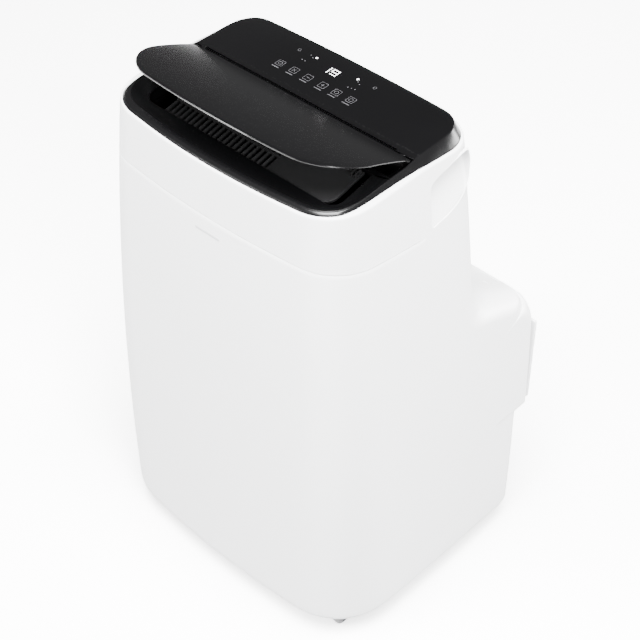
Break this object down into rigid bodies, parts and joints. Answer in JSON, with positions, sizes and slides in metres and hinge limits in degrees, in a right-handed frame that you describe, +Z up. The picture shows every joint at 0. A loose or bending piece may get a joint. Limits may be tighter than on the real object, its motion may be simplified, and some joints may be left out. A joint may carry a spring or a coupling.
{
  "type": "portable air conditioner",
  "caption": "Upright portable air conditioner on casters, with a hinged top outlet flap, touch control plate, side hand recesses and a stepped rear exhaust housing.",
  "frame": {"origin": "on the floor under the middle of the case's width and depth", "axes": "+Z up, front of the case towards -Y, +X to the right when seen from the front"},
  "size_m": [0.4712, 0.4069, 0.7772],
  "materials": {
    "white_shell": "satin moulded white",
    "white_inner": "plain moulded",
    "black_gloss": "high gloss black",
    "black_satin": "satin black",
    "dark_grey": "dark grey moulded",
    "grey_trim": "grey moulded",
    "filter_mesh": "woven nylon mesh",
    "foam_duct": "expanded foam",
    "steel_sheet": "galvanised",
    "alu_fins": "bare fins",
    "copper": "drawn copper",
    "black_paint": "black enamel",
    "rubber": "moulded rubber",
    "caster_black": "polyamide",
    "board": "circuit board",
    "steel_pin": "ground steel"
  },
  "bodies": {
    "case": {"base_tray": "white_inner", "front_shell": "white_shell", "top_cover": "white_shell", "rear_panel": "white_shell", "rear_housing": "white_shell", "lower_back": "white_shell", "exhaust_plate": "white_shell", "exhaust_ring": "grey_trim", "exhaust_guard": "grey_trim", "exhaust_duct": "foam_duct", "upper_grille": "white_shell", "cord_gland": "grey_trim", "top_bezel": "black_gloss", "control_plate": "black_satin", "control_board": "board", "outlet_deck": "black_gloss", "outlet_grille": "dark_grey", "flap_motor": "steel_sheet", "outlet_duct": "dark_grey", "blower_scroll": "foam_duct", "blower_motor": "steel_sheet", "evaporator": "alu_fins", "mid_deck": "white_inner", "condenser": "alu_fins", "exhaust_scroll": "foam_duct", "exhaust_motor": "steel_sheet", "compressor": "black_paint", "accumulator": "black_paint", "compressor_feet": "rubber", "copper_pipes": "copper", "splash_motor": "steel_sheet", "electrics_box": "steel_sheet", "main_board": "board", "capacitor": "steel_sheet", "handle_cup_left": "white_shell", "handle_cup_right": "white_shell", "screws": "steel_pin"},
    "flap": {"flap": "black_gloss", "hinge_pins": "dark_grey"},
    "upper_filter": {"upper_filter": "filter_mesh"},
    "lower_filter": {"lower_filter": "white_shell"},
    "drain_plug_low": {"drain_plug_low": "rubber"},
    "drain_plug_middle": {"drain_plug_middle": "rubber"},
    "vane_1": {"vane_1": "dark_grey"},
    "vane_2": {"vane_2": "dark_grey"},
    "vane_3": {"vane_3": "dark_grey"},
    "vane_4": {"vane_4": "dark_grey"},
    "vane_bar": {"vane_bar": "dark_grey"},
    "blower_wheel": {"blower_wheel": "grey_trim"},
    "exhaust_wheel": {"exhaust_wheel": "grey_trim"},
    "splash_wheel": {"splash_wheel": "grey_trim"},
    "fork_front_left": {"fork_front_left": "caster_black"},
    "wheel_front_left": {"wheel_front_left": "caster_black"},
    "fork_front_right": {"fork_front_right": "caster_black"},
    "wheel_front_right": {"wheel_front_right": "caster_black"},
    "fork_rear_left": {"fork_rear_left": "caster_black"},
    "wheel_rear_left": {"wheel_rear_left": "caster_black"},
    "fork_rear_right": {"fork_rear_right": "caster_black"},
    "wheel_rear_right": {"wheel_rear_right": "caster_black"}
  },
  "joints": [
    {"name": "flap_hinge", "type": "hinge", "parent": "case", "child": "flap", "pos_m": [0, -0.03166, 0.72762], "axis": [-1, 0, 0], "range_deg": [-21.5, 45]},
    {"name": "vane_1_swing", "type": "hinge", "parent": "case", "child": "vane_1", "pos_m": [-0.11, -0.1088, 0.676], "axis": [0, 1, 0], "range_deg": [-30, 30]},
    {"name": "vane_2_swing", "type": "hinge", "parent": "case", "child": "vane_2", "pos_m": [-0.066, -0.1088, 0.676], "axis": [0, 1, 0], "range_deg": [-30, 30]},
    {"name": "vane_3_swing", "type": "hinge", "parent": "case", "child": "vane_3", "pos_m": [-0.022, -0.1088, 0.676], "axis": [0, 1, 0], "range_deg": [-30, 30]},
    {"name": "vane_4_swing", "type": "hinge", "parent": "case", "child": "vane_4", "pos_m": [0.022, -0.1088, 0.676], "axis": [0, 1, 0], "range_deg": [-30, 30]},
    {"name": "vane_bar_pivot", "type": "hinge", "parent": "vane_1", "child": "vane_bar", "pos_m": [-0.11, -0.1088, 0.665], "axis": [0, 1, 0], "range_deg": [-30, 30]},
    {"name": "blower_spin", "type": "hinge", "parent": "case", "child": "blower_wheel", "pos_m": [0, -0.1038, 0.537], "axis": [0, 1, 0], "continuous": true},
    {"name": "exhaust_spin", "type": "hinge", "parent": "case", "child": "exhaust_wheel", "pos_m": [0.052, 0.0962, 0.16], "axis": [0, 1, 0], "continuous": true},
    {"name": "splash_spin", "type": "hinge", "parent": "case", "child": "splash_wheel", "pos_m": [0.178, 0.0792, 0.08], "axis": [0, 1, 0], "continuous": true},
    {"name": "upper_filter_slide", "type": "slide", "parent": "case", "child": "upper_filter", "axis": [0, -0.0471, 0.9989], "range_m": [0, 0.15]},
    {"name": "lower_filter_pull", "type": "slide", "parent": "case", "child": "lower_filter", "axis": [0, 1, 0], "range_m": [0, 0.04]},
    {"name": "drain_plug_low_pull", "type": "slide", "parent": "case", "child": "drain_plug_low", "axis": [0, 1, 0], "range_m": [0, 0.02]},
    {"name": "drain_plug_middle_pull", "type": "slide", "parent": "case", "child": "drain_plug_middle", "axis": [0, 1, 0], "range_m": [0, 0.02]},
    {"name": "swivel_front_left", "type": "hinge", "parent": "case", "child": "fork_front_left", "pos_m": [-0.182, -0.1538, 0.042], "axis": [0, 0, 1], "continuous": true},
    {"name": "roll_front_left", "type": "hinge", "parent": "fork_front_left", "child": "wheel_front_left", "pos_m": [-0.182, -0.1448, 0.0155], "axis": [1, 0, 0], "continuous": true},
    {"name": "swivel_front_right", "type": "hinge", "parent": "case", "child": "fork_front_right", "pos_m": [0.182, -0.1538, 0.042], "axis": [0, 0, 1], "continuous": true},
    {"name": "roll_front_right", "type": "hinge", "parent": "fork_front_right", "child": "wheel_front_right", "pos_m": [0.182, -0.1448, 0.0155], "axis": [1, 0, 0], "continuous": true},
    {"name": "swivel_rear_left", "type": "hinge", "parent": "case", "child": "fork_rear_left", "pos_m": [-0.182, 0.1342, 0.042], "axis": [0, 0, 1], "continuous": true},
    {"name": "roll_rear_left", "type": "hinge", "parent": "fork_rear_left", "child": "wheel_rear_left", "pos_m": [-0.182, 0.1432, 0.0155], "axis": [1, 0, 0], "continuous": true},
    {"name": "swivel_rear_right", "type": "hinge", "parent": "case", "child": "fork_rear_right", "pos_m": [0.182, 0.1342, 0.042], "axis": [0, 0, 1], "continuous": true},
    {"name": "roll_rear_right", "type": "hinge", "parent": "fork_rear_right", "child": "wheel_rear_right", "pos_m": [0.182, 0.1432, 0.0155], "axis": [1, 0, 0], "continuous": true}
  ],
  "couplings": [
    {"joint": "vane_2_swing", "follows": "vane_1_swing", "ratio": 1},
    {"joint": "vane_3_swing", "follows": "vane_1_swing", "ratio": 1},
    {"joint": "vane_4_swing", "follows": "vane_1_swing", "ratio": 1},
    {"joint": "vane_bar_pivot", "follows": "vane_1_swing", "ratio": -1}
  ]
}
